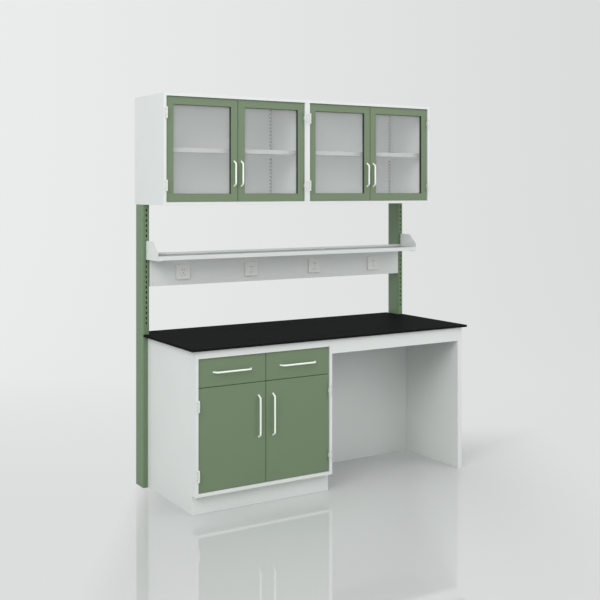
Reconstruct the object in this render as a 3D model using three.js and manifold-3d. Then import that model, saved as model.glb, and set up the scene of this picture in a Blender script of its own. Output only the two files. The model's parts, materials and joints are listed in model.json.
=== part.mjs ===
// Laboratory bench with a reagent shelf, in folded steel. A base cupboard with two drawers and
// two doors stands on the left and a knee space on the right. Two slotted posts at the rear
// corners carry a glass reagent shelf on hooked brackets, a socket trunking between them and
// two glazed wall cabinets on top. Millimetres, +Z up, the front faces -Y, and the origin is
// on the floor under the middle of the bench.

import * as THREE from 'three';
import { mergeVertices } from 'three/addons/utils/BufferGeometryUtils.js';
import Module from 'manifold-3d';

const wasm = await Module();
wasm.setup();

// Fits shared by all pieces
const seatGap = 0.3; // between pieces that rest on each other or are screwed together
const slideGap = 0.6; // between pieces that slide or turn past each other
const weldOverlap = 1; // how far two welded pieces run into each other
const sheet = 2; // folded sheet, as drawn

// Worktop
const benchWidth = 1800;
const benchDepth = 750;
const worktopHeight = 850;
const worktopThickness = 13;
const worktopEase = 1.5;

// Posts, with a column of slots in the front wall
const postWidth = 37;
const postDepth = 108;
const postWall = 2.5;
const postCorner = 7;
const postRearInset = 15;
const slotWidth = 7;
const slotHeight = 14;
const slotPitch = 28.5;
const firstSlotRise = 62; // worktop to the middle of the lowest slot
const plainPostTop = 20; // post above the highest slot

// Base cupboard
const sideOverhang = 27; // worktop past the cupboard's and the end panel's outer faces
const frontOverhang = 18; // worktop past the carcass front
const cupboardWidth = 824;
const sidePanel = 16;
const toeHeight = 98;
const toeRecess = 42;
const bottomRailHeight = 17;
const topRailHeight = 40;
const topRailDepth = 45;
const midRailHeight = 14;
const midRailDepth = 20;
const partition = 16;
const backSetback = 18; // back panel in front of the sides' rear edges
const backFlange = 15;
const plinthFlange = 20;
const cupboardShelfHeight = 380;
const cupboardShelfSetback = 75; // shelf behind the carcass front
const shelfFrontFold = 24;
const shelfRearFold = 15;
const ledgeWidth = 10;

// Doors and drawer fronts, set into the carcass
const frontThickness = 18;
const frontRecess = 9; // fronts behind the carcass front
const frontGap = 2; // round each front
const meetingGap = 3; // between two fronts that meet
const frontEase = 1;
const bufferGap = 1.5; // behind a closed front

// Drawers on side runners
const drawerFrontHeight = 146;
const drawerBoxRise = 11; // box above the lower edge of its front
const drawerBoxHeight = 104;
const drawerBoxDepth = 470;
const runnerWidth = 12;
const runnerHeight = 34;
const runnerRise = 14; // runner above the underside of the box

// Knee space
const apronHeight = 80;
const apronDepth = 40;
const endPanel = 30;
const kneeBackSetback = 495; // knee-space back behind the carcass front
const kneeBackFlange = 20;

// Reagent shelf, hooked on the posts
const shelfSlot = 13; // slot that holds the lower hook, counted from 0 at the bottom
const hookSlots = 2; // slots from the lower hook to the upper one
const hookRise = 11; // bracket's lower edge to the lower hook's neck
const hookNeck = 8;
const hookDrop = 5;
const hookThickness = 3.5;
const bracketPlate = 3;
const bracketHeight = 105;
const bracketDepth = 162;
const bracketTopRun = 95;
const bracketNose = 50;
const bracketLedge = 25;
const shelfRailHeight = 23;
const shelfLipHeight = 34;
const shelfGlass = 8;
const shelfGlassEase = 1;
const shelfGlassSeat = 14;

// Socket trunking between the posts
const trunkingTopRise = 410; // above the worktop
const trunkingHeight = 145;
const trunkingDepth = 60;
const socketCount = 4;
const socketFromEnd = 203; // end of the trunking to the middle of the nearest socket
const socketSize = 86;
const socketPlate = 9;
const socketEase = 2;
const socketBox = 62;
const socketBoxDepth = 32;

// Wall cabinets on top of the posts
const wallCabinetRise = 720; // worktop to the underside of the wall cabinets
const wallCabinetHeight = 600;
const wallCabinetDepth = 400;
const wallPanel = 16;
const wallBack = 12;
const wallShelfRise = 310; // underside of the wall cabinet to the top of its shelf
const wallShelfSetback = 55;
const doorFrameWidth = 42;
const doorFrameDepth = 20;
const paneThickness = 4;
const paneSetback = 13;
const paneSeat = 8;

// Butt hinges with exposed knuckles
const hingeLength = 60;
const hingeBarrel = 9;
const hingePin = 4;
const pinClearance = 0.45;
const doorKnuckle = 22;
const leafThickness = 1.5;
const leafWidth = 9;
const hingeLug = 4.2;
const hingeFromEnd = 88; // end of a door to the middle of its hinge
const barrelSides = 14;

// Bow handles
const handleRod = 9.5;
const handleReach = 26;
const handleBend = 14;
const handleSplay = 11; // each foot beyond the end of the grip
const longGrip = 195;
const shortGrip = 114;
const handleSides = 10;
const baseHandleFromTop = 178; // top of a base door to the middle of its handle
const baseHandleFromEdge = 42;
const wallHandleFromBottom = 153;

// Places that follow from these sizes
const benchFront = -benchDepth / 2;
const carcassFront = benchFront + frontOverhang;
const carcassTop = worktopHeight - worktopThickness - seatGap;
const postRear = benchDepth / 2 - postRearInset;
const postFront = postRear - postDepth;
const carcassDepth = postFront - seatGap - carcassFront;
const cupboardLeft = -benchWidth / 2 + sideOverhang;
const endPanelLeft = benchWidth / 2 - sideOverhang - endPanel;
const kneeLeft = cupboardLeft + cupboardWidth;
const wallCabinetBottom = worktopHeight + wallCabinetRise;
const wallCabinetWidth = (benchWidth - seatGap) / 2;
const postTop = wallCabinetBottom - seatGap;
const slotCentre = (index) => worktopHeight + firstSlotRise + index * slotPitch;
const axisToFront = hingeBarrel / 2 + seatGap + frontRecess; // hinge axis to the face of a front

// Finishes
const finish = (color, roughness, metalness = 0) =>
  new THREE.MeshStandardMaterial({ color, roughness, metalness });
const whiteSteel = finish('#e3e6e4', 0.5);
const greenSteel = finish('#7a8c6f', 0.5);
const greenFront = finish('#6f8467', 0.5);
const blackResin = finish('#242627', 0.4);
const whiteNylon = finish('#eef1ec', 0.35);
const clearGlass = finish('#d9e2df', 0.05);
const tintedGlass = finish('#a9b5b0', 0.05);
const whitePlastic = finish('#e9eae6', 0.4);

// Solids are joined and cut as closed meshes with shared corners.
function toSolid(geometry) {
  const bare = geometry.clone();
  bare.deleteAttribute('normal');
  bare.deleteAttribute('uv');
  const merged = mergeVertices(bare);
  return new wasm.Manifold(new wasm.Mesh({
    numProp: 3,
    vertProperties: Float32Array.from(merged.attributes.position.array),
    triVerts: Uint32Array.from(merged.index.array),
  }));
}

function toGeometry(solid) {
  const { vertProperties, triVerts } = solid.getMesh();
  const geometry = new THREE.BufferGeometry();
  geometry.setAttribute('position', new THREE.BufferAttribute(vertProperties, 3));
  geometry.setIndex(new THREE.BufferAttribute(triVerts, 1));
  geometry.computeVertexNormals();
  return geometry;
}

function join(...pieces) {
  return toGeometry(pieces.map(toSolid).reduce((whole, piece) => whole.add(piece)));
}

function cut(body, ...tools) {
  return toGeometry(tools.map(toSolid).reduce((left, tool) => left.subtract(tool), toSolid(body)));
}

// Outlines
function outline(points) {
  return new THREE.Shape(points.map(([u, v]) => new THREE.Vector2(u, v)));
}

function rectangle(u0, u1, v0, v1) {
  return outline([[u0, v0], [u1, v0], [u1, v1], [u0, v1]]);
}

function roundedRectangle(width, depth, radius) {
  const u = width / 2 - radius;
  const v = depth / 2 - radius;
  const shape = new THREE.Shape();
  shape.absarc(u, v, radius, 0, Math.PI / 2);
  shape.absarc(-u, v, radius, Math.PI / 2, Math.PI);
  shape.absarc(-u, -v, radius, Math.PI, Math.PI * 1.5);
  shape.absarc(u, -v, radius, Math.PI * 1.5, Math.PI * 2);
  return shape;
}

function ring(outer, ...holes) {
  outer.holes.push(...holes);
  return outer;
}

// Section of a folded sheet: one face follows the points, the other lies to their left.
function foldedSheet(points, thickness = sheet) {
  const face = points.map(([u, v]) => new THREE.Vector2(u, v));
  const leftOf = (from, to) => {
    const along = to.clone().sub(from).normalize();
    return new THREE.Vector2(-along.y, along.x);
  };
  const other = face.map((point, i) => {
    const before = i > 0 ? leftOf(face[i - 1], point) : leftOf(point, face[i + 1]);
    const after = i < face.length - 1 ? leftOf(point, face[i + 1]) : before;
    const mitre = before.clone().add(after).multiplyScalar(thickness / (1 + before.dot(after)));
    return point.clone().add(mitre);
  });
  return new THREE.Shape([...face, ...other.reverse()]);
}

// Extrusions along each axis, from one coordinate to another
const sideBasis = new THREE.Matrix4().makeBasis(
  new THREE.Vector3(0, 1, 0), new THREE.Vector3(0, 0, 1), new THREE.Vector3(1, 0, 0));
const frontBasis = new THREE.Matrix4().makeBasis(
  new THREE.Vector3(1, 0, 0), new THREE.Vector3(0, 0, 1), new THREE.Vector3(0, -1, 0));

function extrude(shape, length, ease = 0) {
  const geometry = new THREE.ExtrudeGeometry(shape, {
    depth: length - 2 * ease,
    bevelEnabled: ease > 0,
    bevelThickness: ease,
    bevelSize: ease,
    bevelOffset: -ease,
    bevelSegments: 1,
    curveSegments: 3,
  });
  return geometry.translate(0, 0, ease);
}

function alongX(shape, x0, x1, ease) {
  return extrude(shape, x1 - x0, ease).applyMatrix4(sideBasis).translate(x0, 0, 0);
}

function alongY(shape, y0, y1, ease) {
  return extrude(shape, y1 - y0, ease).applyMatrix4(frontBasis).translate(0, y1, 0);
}

function alongZ(shape, z0, z1, ease) {
  return extrude(shape, z1 - z0, ease).translate(0, 0, z0);
}

function block(x0, x1, y0, y1, z0, z1) {
  return alongZ(rectangle(Math.min(x0, x1), Math.max(x0, x1), y0, y1), z0, z1);
}

function upright(radius, z0, z1, sides) {
  const cylinder = new THREE.CylinderGeometry(radius, radius, z1 - z0, sides);
  return cylinder.rotateX(Math.PI / 2).translate(0, 0, (z0 + z1) / 2);
}

function piece(name, geometry, material, x = 0, y = 0, z = 0) {
  const mesh = new THREE.Mesh(geometry, material);
  mesh.name = name;
  mesh.position.set(x, y, z);
  return mesh;
}

function assembly(x, y, z, ...members) {
  const group = new THREE.Group();
  group.position.set(x, y, z);
  group.add(...members);
  return group;
}

// Sections of folded pieces. A channel opens to the rear, a pan opens downwards.
function channelSection(y, depth, z0, z1) {
  return foldedSheet([[y + depth, z1], [y, z1], [y, z0], [y + depth, z0]]);
}

function panSection(y0, y1, top, frontFold, rearFold) {
  return foldedSheet([[y1, top - rearFold], [y1, top], [y0, top], [y0, top - frontFold]]);
}

// Upright panel seen from above, with a flange to the rear along each side
function flangedPanel(x0, x1, y, flange, z0, z1) {
  return alongZ(foldedSheet([[x0, y + flange], [x0, y], [x1, y], [x1, y + flange]]), z0, z1);
}

// Section of a rail welded to a vertical face. hand is +1 where it stands out towards +X.
function weldedSection(face, hand, points) {
  const placed = points.map(([u, v]) => [face + hand * u, v]);
  return foldedSheet(hand > 0 ? placed : placed.reverse());
}

// Outer member of a drawer runner
function runnerChannel(face, hand, z0) {
  const section = weldedSection(face, hand, [
    [runnerWidth, z0 + runnerHeight],
    [-weldOverlap, z0 + runnerHeight],
    [-weldOverlap, z0],
    [runnerWidth, z0],
  ]);
  return alongY(section, behindFronts, behindFronts + drawerBoxDepth);
}

// Angle that a shelf rests on
function shelfLedge(face, hand, top, y0, y1) {
  const section = weldedSection(face, hand, [
    [ledgeWidth, top],
    [-weldOverlap, top],
    [-weldOverlap, top - ledgeWidth],
  ]);
  return alongY(section, y0, y1);
}

// Worktop slab, notched at the rear corners for the posts
function worktop() {
  const halfWidth = benchWidth / 2;
  const notchSide = halfWidth - postWidth - seatGap;
  const notchFront = postFront - seatGap;
  const slab = outline([
    [-halfWidth, benchFront],
    [halfWidth, benchFront],
    [halfWidth, notchFront],
    [notchSide, notchFront],
    [notchSide, benchDepth / 2],
    [-notchSide, benchDepth / 2],
    [-notchSide, notchFront],
    [-halfWidth, notchFront],
  ]);
  return alongZ(slab, worktopHeight - worktopThickness, worktopHeight, worktopEase);
}

// Rectangular tube with rounded corners and a column of slots in its front wall
function post() {
  const inner = roundedRectangle(
    postWidth - 2 * postWall, postDepth - 2 * postWall, postCorner - postWall);
  const tube = alongZ(ring(roundedRectangle(postWidth, postDepth, postCorner), inner), 0, postTop);
  const front = -postDepth / 2;
  const highest = postTop - plainPostTop - slotHeight / 2;
  const slots = [];
  for (let index = 0; slotCentre(index) <= highest; index += 1) {
    const z = slotCentre(index);
    slots.push(block(
      -slotWidth / 2, slotWidth / 2,
      front - postWall, front + 2 * postWall,
      z - slotHeight / 2, z + slotHeight / 2));
  }
  return cut(tube, ...slots);
}

// Bow handle along Z: a bent rod whose feet stand on the plane y = 0
class BentLine extends THREE.Curve {
  constructor(points) {
    super();
    this.points = points;
  }

  getPoint(t, target = new THREE.Vector3()) {
    const place = t * (this.points.length - 1);
    const i = Math.min(Math.floor(place), this.points.length - 2);
    return target.lerpVectors(this.points[i], this.points[i + 1], place - i);
  }

  // One section of the rod at each point of the line
  getUtoTmapping(u) {
    return u;
  }
}

function bowHandle(grip) {
  const reach = handleReach - handleRod / 2;
  const elbow = new THREE.Vector3(0, -reach, grip / 2);
  const leg = new THREE.Vector3(0, reach, handleSplay).normalize();
  const legEnd = elbow.clone().addScaledVector(leg, Math.hypot(reach, handleSplay) + handleRod);
  const bendOut = elbow.clone().addScaledVector(leg, handleBend);
  const bendIn = elbow.clone().setZ(grip / 2 - handleBend);
  const upper = [...new THREE.QuadraticBezierCurve3(bendIn, elbow, bendOut).getPoints(4), legEnd];
  const lower = upper.map((point) => point.clone().setZ(-point.z)).reverse();
  const section = outline(Array.from({ length: handleSides }, (_, side) => {
    const turn = (2 * Math.PI * side) / handleSides;
    return [(handleRod / 2) * Math.cos(turn), (handleRod / 2) * Math.sin(turn)];
  }));
  const rod = new THREE.ExtrudeGeometry(section, {
    steps: lower.length + upper.length - 1,
    extrudePath: new BentLine([...lower, ...upper]),
  });
  const room = grip + 4 * handleSplay + 4 * handleRod;
  return cut(rod, block(-handleRod, handleRod, -seatGap, room, -room, room));
}

// Frame half of a butt hinge round its axis: leaf, end knuckles and pin. The leaf lies on the
// carcass front, on the side away from the door, and stays clear of the door's knuckle.
function hingeFrameHalf(hand) {
  const end = hingeLength / 2;
  const inner = doorKnuckle / 2 + slideGap;
  const near = -hand * (hingeBarrel / 2 + slideGap);
  const far = near - hand * leafWidth;
  const leaf = outline([
    [far, -end], [0, -end], [0, -inner], [near, -inner],
    [near, inner], [0, inner], [0, end], [far, end],
  ]);
  const back = hingeBarrel / 2;
  return join(
    alongY(leaf, back - leafThickness, back),
    upright(hingeBarrel / 2, -end, -inner, barrelSides),
    upright(hingeBarrel / 2, inner, end, barrelSides),
    upright(hingePin / 2, -end, end, barrelSides));
}

const hingeLevels = (height) => [hingeFromEnd, height - hingeFromEnd];

// Door leaf with its bored knuckles on the hinge axis at x = 0, y = 0
function withKnuckles(leaf, hand, height) {
  const half = doorKnuckle / 2;
  const lugEnd = axisToFront + frontEase + weldOverlap;
  const knuckles = hingeLevels(height).flatMap((z) => [
    upright(hingeBarrel / 2, z - half, z + half, barrelSides),
    block(0, hand * hingeLug, 0, lugEnd, z - half, z + half),
  ]);
  const bores = hingeLevels(height).map((z) =>
    upright(hingePin / 2 + pinClearance, z - doorKnuckle, z + doorKnuckle, barrelSides));
  return cut(join(leaf, ...knuckles), ...bores);
}

// Left edge of a leaf, counted from its hinge axis
const leafStart = (hand, width) => (hand > 0 ? frontGap / 2 : -frontGap / 2 - width);

// Door hung on two hinges: the axis stands in the gap beside the frame, in front of it.
function hungDoor(name, hand, frameEdge, bottom, height, leaf, material, ...fittings) {
  const axisX = frameEdge + (hand * frontGap) / 2;
  const axisY = -seatGap - hingeBarrel / 2;
  const door = assembly(axisX, axisY, bottom,
    piece(name, withKnuckles(leaf, hand, height), material), ...fittings);
  const [lower, upper] = hingeLevels(height);
  return [
    door,
    piece(`${name}_lower_hinge`, hingeFrameHalf(hand), whiteSteel, axisX, axisY, bottom + lower),
    piece(`${name}_upper_hinge`, hingeFrameHalf(hand), whiteSteel, axisX, axisY, bottom + upper),
  ];
}

// Base cupboard, from its left front corner on the floor
const cupboardInner = cupboardWidth - 2 * sidePanel;
const frontWidth = (cupboardInner - 2 * frontGap - meetingGap) / 2;
const behindFronts = frontRecess + frontThickness + bufferGap;
const backFace = carcassDepth - backSetback;
const cupboardFloor = toeHeight + bottomRailHeight;
const drawerBottom = carcassTop - topRailHeight - frontGap - drawerFrontHeight;
const doorTop = drawerBottom - meetingGap;
const doorBottom = cupboardFloor + frontGap;
const runnerBottom = drawerBottom + drawerBoxRise + runnerRise;
const drawerBay = (cupboardInner - partition) / 2;

function cupboardSide(hand) {
  const x0 = hand > 0 ? 0 : cupboardWidth - sidePanel;
  const face = hand > 0 ? sidePanel : cupboardWidth - sidePanel;
  const profile = outline([
    [toeRecess, 0],
    [carcassDepth, 0],
    [carcassDepth, carcassTop],
    [0, carcassTop],
    [0, toeHeight],
    [toeRecess, toeHeight],
  ]);
  const ledgeTop = cupboardShelfHeight - sheet - seatGap;
  return join(
    alongX(profile, x0, x0 + sidePanel),
    runnerChannel(face, hand, runnerBottom),
    shelfLedge(face, hand, ledgeTop,
      cupboardShelfSetback + ledgeWidth, backFace - seatGap - ledgeWidth));
}

// Top rails, drawer partition and the rail behind the line between drawers and doors
function cupboardTopFrame() {
  const x0 = sidePanel + seatGap;
  const x1 = cupboardWidth - sidePanel - seatGap;
  const middle = cupboardWidth / 2;
  const rearRail = backFace - seatGap - topRailDepth;
  const midRail = (drawerBottom + doorTop - midRailHeight) / 2;
  const railBottom = carcassTop - topRailHeight;
  const divider = rectangle(behindFronts, rearRail + sheet, midRail, carcassTop);
  return join(
    alongX(divider, middle - partition / 2, middle + partition / 2),
    alongX(channelSection(0, topRailDepth, railBottom, carcassTop), x0, x1),
    alongX(channelSection(rearRail, topRailDepth, railBottom, carcassTop), x0, x1),
    alongX(channelSection(behindFronts, midRailDepth, midRail, midRail + midRailHeight), x0, x1),
    runnerChannel(middle - partition / 2, -1, runnerBottom),
    runnerChannel(middle + partition / 2, 1, runnerBottom));
}

function frontPanel(x, width, height, y) {
  return alongY(rectangle(x, x + width, 0, height), y, y + frontThickness, frontEase);
}

function baseDoor(name, hand) {
  const height = doorTop - doorBottom;
  const start = leafStart(hand, frontWidth);
  const handleX = hand * (frontGap / 2 + frontWidth - baseHandleFromEdge);
  const leaf = frontPanel(start, frontWidth, height, axisToFront);
  const handle = piece(`${name}_handle`, bowHandle(longGrip), whiteNylon,
    handleX, axisToFront, height - baseHandleFromTop);
  const edge = hand > 0 ? sidePanel : cupboardWidth - sidePanel;
  return hungDoor(name, hand, edge, doorBottom, height, leaf, greenFront, handle);
}

// Drawer in its bay: front, tray with the inner runner members, handle
function drawer(name, bayLeft, frontLeft) {
  const boxSide = runnerWidth + slideGap;
  const boxFront = frontRecess + frontThickness + seatGap;
  const boxRear = boxFront + drawerBoxDepth;
  const boxTop = drawerBoxRise + drawerBoxHeight;
  const tray = cut(
    block(boxSide, drawerBay - boxSide, boxFront, boxRear, drawerBoxRise, boxTop),
    block(boxSide + sheet, drawerBay - boxSide - sheet, boxFront + sheet, boxRear - sheet,
      drawerBoxRise + sheet, boxTop + sheet));
  const barBottom = drawerBoxRise + runnerRise + sheet + slideGap;
  const barTop = drawerBoxRise + runnerRise + runnerHeight - sheet - slideGap;
  const barOuter = sheet - weldOverlap + slideGap;
  const barInner = boxSide + weldOverlap;
  const box = join(tray,
    block(barOuter, barInner, boxFront, boxRear, barBottom, barTop),
    block(drawerBay - barInner, drawerBay - barOuter, boxFront, boxRear, barBottom, barTop));
  const handle = piece(`${name}_handle`, bowHandle(longGrip), whiteNylon,
    frontLeft - bayLeft + frontWidth / 2, frontRecess, drawerFrontHeight / 2);
  handle.rotation.y = Math.PI / 2;
  const front = frontPanel(frontLeft - bayLeft, frontWidth, drawerFrontHeight, frontRecess);
  return assembly(bayLeft, 0, drawerBottom,
    piece(`${name}_front`, front, greenFront), piece(`${name}_box`, box, whiteSteel), handle);
}

function baseCupboard() {
  const x0 = sidePanel + seatGap;
  const x1 = cupboardWidth - sidePanel - seatGap;
  const rear = backFace - seatGap;
  const bottom = panSection(0, rear, cupboardFloor, bottomRailHeight, bottomRailHeight);
  const shelf = panSection(
    cupboardShelfSetback, rear, cupboardShelfHeight, shelfFrontFold, shelfRearFold);
  const plinthTop = cupboardFloor - sheet - seatGap;
  const plinth = foldedSheet(
    [[toeRecess + plinthFlange, plinthTop], [toeRecess, plinthTop], [toeRecess, 0]]);
  const rightBay = sidePanel + drawerBay + partition;
  const firstFront = sidePanel + frontGap;
  return assembly(cupboardLeft, carcassFront, 0,
    piece('base_left_side', cupboardSide(1), whiteSteel),
    piece('base_right_side', cupboardSide(-1), whiteSteel),
    piece('base_bottom', alongX(bottom, x0, x1), whiteSteel),
    piece('base_plinth', alongX(plinth, x0, x1), whiteSteel),
    piece('base_back', flangedPanel(x0, x1, backFace, backFlange, toeHeight, carcassTop), whiteSteel),
    piece('base_top_frame', cupboardTopFrame(), whiteSteel),
    piece('base_shelf', alongX(shelf, x0, x1), whiteSteel),
    drawer('drawer_left', sidePanel, firstFront),
    drawer('drawer_right', rightBay, firstFront + frontWidth + meetingGap),
    ...baseDoor('base_door_left', 1),
    ...baseDoor('base_door_right', -1));
}

// Knee space, from the right face of the cupboard
function kneeSpace() {
  const x0 = seatGap;
  const x1 = endPanelLeft - kneeLeft - seatGap;
  const apron = channelSection(0, apronDepth, carcassTop - apronHeight, carcassTop);
  const end = rectangle(0, carcassDepth, 0, carcassTop);
  const back = flangedPanel(x0, x1, kneeBackSetback, kneeBackFlange, 0, carcassTop);
  return assembly(kneeLeft, carcassFront, 0,
    piece('apron_rail', alongX(apron, x0, x1), whiteSteel),
    piece('knee_back_panel', back, whiteSteel),
    piece('right_end_panel', alongX(end, x1 + seatGap, x1 + seatGap + endPanel), whiteSteel));
}

// Shelf bracket from the post's front face: a plate with hooks at the rear, which drop behind
// the post wall, and a ledge along its lower edge.
function shelfBracket(hand) {
  const wallRear = postWall + seatGap;
  const hooks = [0, hookSlots * slotPitch].flatMap((rise) => {
    const neck = hookRise + rise;
    return [
      [-seatGap, neck],
      [wallRear, neck],
      [wallRear, neck - hookDrop],
      [wallRear + hookThickness, neck - hookDrop],
      [wallRear + hookThickness, neck + hookNeck],
      [-seatGap, neck + hookNeck],
    ];
  });
  const plate = outline([
    [-seatGap, 0],
    ...hooks,
    [-seatGap, bracketHeight],
    [-bracketTopRun, bracketHeight],
    [-bracketDepth, bracketNose],
    [-bracketDepth, 0],
  ]);
  const half = bracketPlate / 2;
  return join(
    alongX(plate, -half, half),
    block(0, hand * (half + bracketLedge), -bracketDepth, -seatGap, 0, bracketPlate));
}

// Reagent shelf: two brackets, a frame between them and the glass board in it
function reagentShelf() {
  const neckSeat = slotCentre(shelfSlot) - slotHeight / 2 + seatGap;
  const postX = benchWidth / 2 - postWidth / 2;
  const halfFrame = postX - bracketPlate / 2 - seatGap;
  const bottom = bracketPlate + seatGap;
  const front = -bracketDepth;
  const rear = -2 * seatGap;
  const seatTop = bottom + shelfRailHeight - shelfGlass - seatGap;
  const rails = ring(rectangle(-halfFrame, halfFrame, front, rear),
    rectangle(sheet - halfFrame, halfFrame - sheet, front + sheet, rear - sheet));
  const seat = ring(rectangle(-halfFrame, halfFrame, front, rear),
    rectangle(shelfGlassSeat - halfFrame, halfFrame - shelfGlassSeat,
      front + shelfGlassSeat, rear - shelfGlassSeat));
  const frame = join(
    alongZ(rails, bottom, bottom + shelfRailHeight),
    alongZ(seat, seatTop - sheet, seatTop),
    block(-halfFrame, halfFrame, rear - sheet, rear, bottom, bottom + shelfLipHeight));
  const edge = sheet + seatGap;
  const board = rectangle(edge - halfFrame, halfFrame - edge, front + edge, rear - edge);
  return assembly(0, postFront, neckSeat - hookRise,
    piece('shelf_bracket_left', shelfBracket(1), whiteSteel, -postX),
    piece('shelf_bracket_right', shelfBracket(-1), whiteSteel, postX),
    piece('reagent_shelf_frame', frame, whiteSteel),
    piece('reagent_shelf_glass',
      alongZ(board, seatTop + seatGap, seatTop + seatGap + shelfGlass, shelfGlassEase), tintedGlass));
}

// Socket trunking: a rectangular duct between the posts, its front flush with theirs, with a
// row of socket plates whose boxes stand in openings of the front wall
function socketTrunking() {
  const halfLength = benchWidth / 2 - postWidth - seatGap;
  const section = ring(rectangle(0, trunkingDepth, 0, trunkingHeight),
    rectangle(sheet, trunkingDepth - sheet, sheet, trunkingHeight - sheet));
  const halfBox = socketBox / 2;
  const halfOpening = halfBox + seatGap;
  const middle = trunkingHeight / 2;
  const lastSocket = halfLength - socketFromEnd;
  const places = Array.from({ length: socketCount },
    (_, index) => lastSocket * ((2 * index) / (socketCount - 1) - 1));
  const openings = places.map((x) => block(x - halfOpening, x + halfOpening,
    -sheet, 2 * sheet, middle - halfOpening, middle + halfOpening));
  const duct = cut(alongX(section, -halfLength, halfLength), ...openings);
  const halfPlate = socketSize / 2;
  const socket = join(
    alongY(rectangle(-halfPlate, halfPlate, -halfPlate, halfPlate),
      -seatGap - socketPlate, -seatGap, socketEase),
    block(-halfBox, halfBox, -seatGap - socketEase - weldOverlap, socketBoxDepth, -halfBox, halfBox));
  return assembly(0, postFront, worktopHeight + trunkingTopRise - trunkingHeight,
    piece('socket_trunking', duct, whiteSteel),
    ...places.map((x, index) => piece(`socket_${index + 1}`, socket, whitePlastic, x, 0, middle)));
}

// Wall cabinet, from its left front lower corner
const wallDoorWidth = (wallCabinetWidth - 2 * wallPanel - 2 * frontGap - meetingGap) / 2;
const wallDoorHeight = wallCabinetHeight - 2 * wallPanel - 2 * frontGap;

// Door frame with a groove round its opening that holds the glass
function wallDoor(name, hand) {
  const start = leafStart(hand, wallDoorWidth);
  const end = start + wallDoorWidth;
  const opening = (out) => [start + doorFrameWidth - out, end - doorFrameWidth + out,
    doorFrameWidth - out, wallDoorHeight - doorFrameWidth + out];
  const frame = alongY(
    ring(rectangle(start, end, 0, wallDoorHeight), rectangle(...opening(0))),
    axisToFront, axisToFront + doorFrameDepth, frontEase);
  const paneFront = axisToFront + paneSetback;
  const groove = alongY(rectangle(...opening(paneSeat)),
    paneFront - seatGap, paneFront + paneThickness + seatGap);
  const pane = alongY(rectangle(...opening(paneSeat - seatGap)),
    paneFront, paneFront + paneThickness);
  const handleX = hand * (frontGap / 2 + wallDoorWidth - doorFrameWidth / 2);
  const edge = hand > 0 ? wallPanel : wallCabinetWidth - wallPanel;
  return hungDoor(name, hand, edge, wallPanel + frontGap, wallDoorHeight,
    cut(frame, groove), greenSteel,
    piece(`${name}_pane`, pane, clearGlass),
    piece(`${name}_handle`, bowHandle(shortGrip), whiteNylon,
      handleX, axisToFront, wallHandleFromBottom));
}

function wallCabinet(name, left, ...doorNames) {
  const innerRight = wallCabinetWidth - wallPanel;
  const innerRear = wallCabinetDepth - wallBack;
  const shelfRear = innerRear - seatGap;
  const ledgeTop = wallShelfRise - sheet - seatGap;
  const ledgeFront = wallShelfSetback + ledgeWidth;
  const carcass = join(
    cut(block(0, wallCabinetWidth, 0, wallCabinetDepth, 0, wallCabinetHeight),
      block(wallPanel, innerRight, -wallPanel, innerRear, wallPanel, wallCabinetHeight - wallPanel)),
    shelfLedge(wallPanel, 1, ledgeTop, ledgeFront, shelfRear - ledgeWidth),
    shelfLedge(innerRight, -1, ledgeTop, ledgeFront, shelfRear - ledgeWidth));
  const shelf = panSection(
    wallShelfSetback, shelfRear, wallShelfRise, shelfFrontFold, shelfRearFold);
  return assembly(left, benchDepth / 2 - wallCabinetDepth, wallCabinetBottom,
    piece(name, carcass, whiteSteel),
    piece(`${name}_shelf`, alongX(shelf, wallPanel + seatGap, innerRight - seatGap), whiteSteel),
    ...wallDoor(doorNames[0], 1),
    ...wallDoor(doorNames[1], -1));
}

const postX = (benchWidth - postWidth) / 2;
const postY = postFront + postDepth / 2;

const bench = new THREE.Group();
bench.add(
  piece('worktop', worktop(), blackResin),
  piece('left_post', post(), greenSteel, -postX, postY),
  piece('right_post', post(), greenSteel, postX, postY),
  baseCupboard(),
  kneeSpace(),
  reagentShelf(),
  socketTrunking(),
  wallCabinet('wall_cabinet_left', -benchWidth / 2, 'wall_door_1', 'wall_door_2'),
  wallCabinet('wall_cabinet_right', benchWidth / 2 - wallCabinetWidth, 'wall_door_3', 'wall_door_4'));

export default bench;
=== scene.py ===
# %% [markdown]
# # A laboratory bench with a reagent shelf
#
# The bench is folded steel with a powder coat: white carcasses, sage green doors and posts, and
# a black worktop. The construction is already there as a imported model, so this lesson only
# dresses it. Each solid keeps its place and gets a finish, and the pieces that need finer
# shapes than the solids have are made here and ride on the same bodies.

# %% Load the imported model
import json
import math

import bmesh
import bpy
from mathutils import Matrix, Vector


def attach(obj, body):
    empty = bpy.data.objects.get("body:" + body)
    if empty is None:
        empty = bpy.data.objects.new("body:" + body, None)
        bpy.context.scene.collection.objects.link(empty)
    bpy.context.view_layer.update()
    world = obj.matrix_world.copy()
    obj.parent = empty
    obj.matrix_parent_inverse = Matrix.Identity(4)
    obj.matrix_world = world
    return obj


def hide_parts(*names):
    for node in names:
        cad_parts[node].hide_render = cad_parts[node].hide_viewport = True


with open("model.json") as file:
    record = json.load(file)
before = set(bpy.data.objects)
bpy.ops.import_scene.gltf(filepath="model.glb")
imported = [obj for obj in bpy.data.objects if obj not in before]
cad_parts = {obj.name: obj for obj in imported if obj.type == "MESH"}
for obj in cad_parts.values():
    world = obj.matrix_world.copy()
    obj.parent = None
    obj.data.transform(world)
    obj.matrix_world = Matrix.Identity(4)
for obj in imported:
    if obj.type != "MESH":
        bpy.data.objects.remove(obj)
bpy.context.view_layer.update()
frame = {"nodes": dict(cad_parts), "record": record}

nodes = frame["nodes"]
MM = 0.001

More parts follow.
